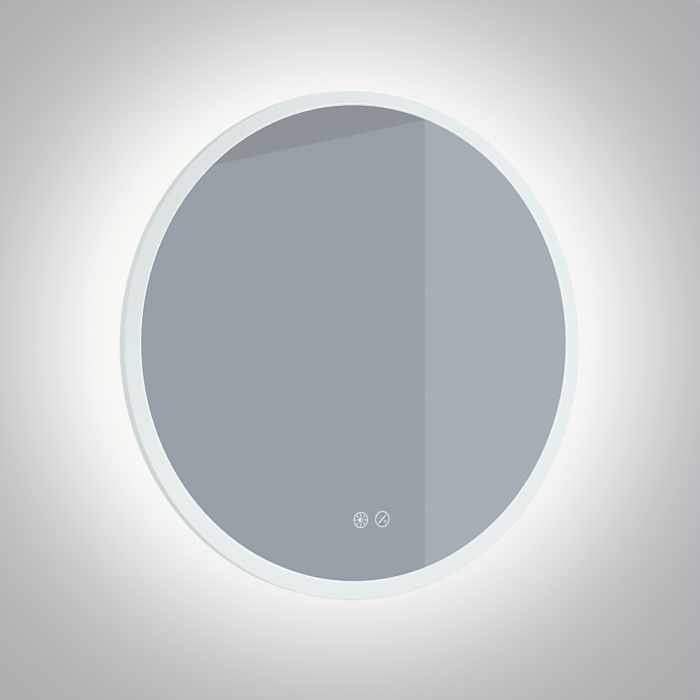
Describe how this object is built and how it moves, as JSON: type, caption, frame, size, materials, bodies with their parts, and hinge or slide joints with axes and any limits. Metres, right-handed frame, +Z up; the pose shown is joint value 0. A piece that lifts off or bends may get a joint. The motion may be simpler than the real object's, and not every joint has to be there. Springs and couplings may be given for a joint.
{
  "type": "lighted mirror",
  "caption": "Round wall mirror with a frosted lit border, a backlit rim, touch symbols and a demister, hung on a lift-off rail.",
  "frame": {"origin": "middle of the wall rail's screw-slot line, on the face of the wall", "axes": "+X to the right of someone facing the mirror, +Y into the wall, +Z up"},
  "size_m": [0.6, 0.045, 0.6],
  "materials": {
    "rail_aluminium": "mill finish",
    "rivet_aluminium": "bright",
    "tray_paint": "satin powder coat",
    "zinc_steel": "bright zinc",
    "black_rubber": "matte",
    "hoop_aluminium": "mill finish",
    "bond_foam": "matte foam",
    "silvered_glass": "polished",
    "frosted_acrylic": "frosted, lit",
    "opal_acrylic": "opal, lit",
    "symbol_white": "frosted, lit",
    "tape_white": "matte",
    "led_phosphor": "lit",
    "heater_film": "thin film",
    "heater_foil": "etched foil",
    "board_green": "solder mask",
    "driver_plastic": "fine texture",
    "box_plastic": "fine texture",
    "block_nylon": "natural nylon",
    "screw_brass": "bright",
    "lead_grey": "flexible PVC",
    "lead_black": "flexible PVC",
    "clip_nylon": "natural nylon"
  },
  "bodies": {
    "wall_bracket": {"wall_rail": "rail_aluminium"},
    "mirror": {"hanging_rail": "rail_aluminium", "rail_rivets": "rivet_aluminium", "box_rivets": "rivet_aluminium", "back_tray": "tray_paint", "tray_screws": "zinc_steel", "driver_screws": "zinc_steel", "cover_screws": "zinc_steel", "wall_bumpers": "black_rubber", "cable_grommet": "black_rubber", "frame_hoop": "hoop_aluminium", "glass_bond_tape": "bond_foam", "mirror_glass": "silvered_glass", "light_ring": "frosted_acrylic", "halo_diffuser": "opal_acrylic", "touch_icon_light": "symbol_white", "touch_icon_demister": "symbol_white", "ring_led_tape": "tape_white", "halo_led_tape": "tape_white", "ring_leds": "led_phosphor", "halo_leds": "led_phosphor", "demister_pad": "heater_film", "demister_trace": "heater_foil", "light_touch_sensor": "board_green", "demister_touch_sensor": "board_green", "driver_board": "board_green", "driver_case": "driver_plastic", "driver_cover": "driver_plastic", "terminal_box": "box_plastic", "terminal_cover": "box_plastic", "terminal_block": "block_nylon", "terminal_screws": "screw_brass", "mains_lead": "lead_grey", "ring_light_lead": "lead_black", "halo_light_lead": "lead_black", "demister_lead": "lead_black", "touch_lead": "lead_black", "lead_clips": "clip_nylon"}
  },
  "joints": [
    {"name": "lift_off", "type": "slide", "parent": "wall_bracket", "child": "mirror", "axis": [0, 0, 1], "range_m": [0, 0.014]}
  ]
}
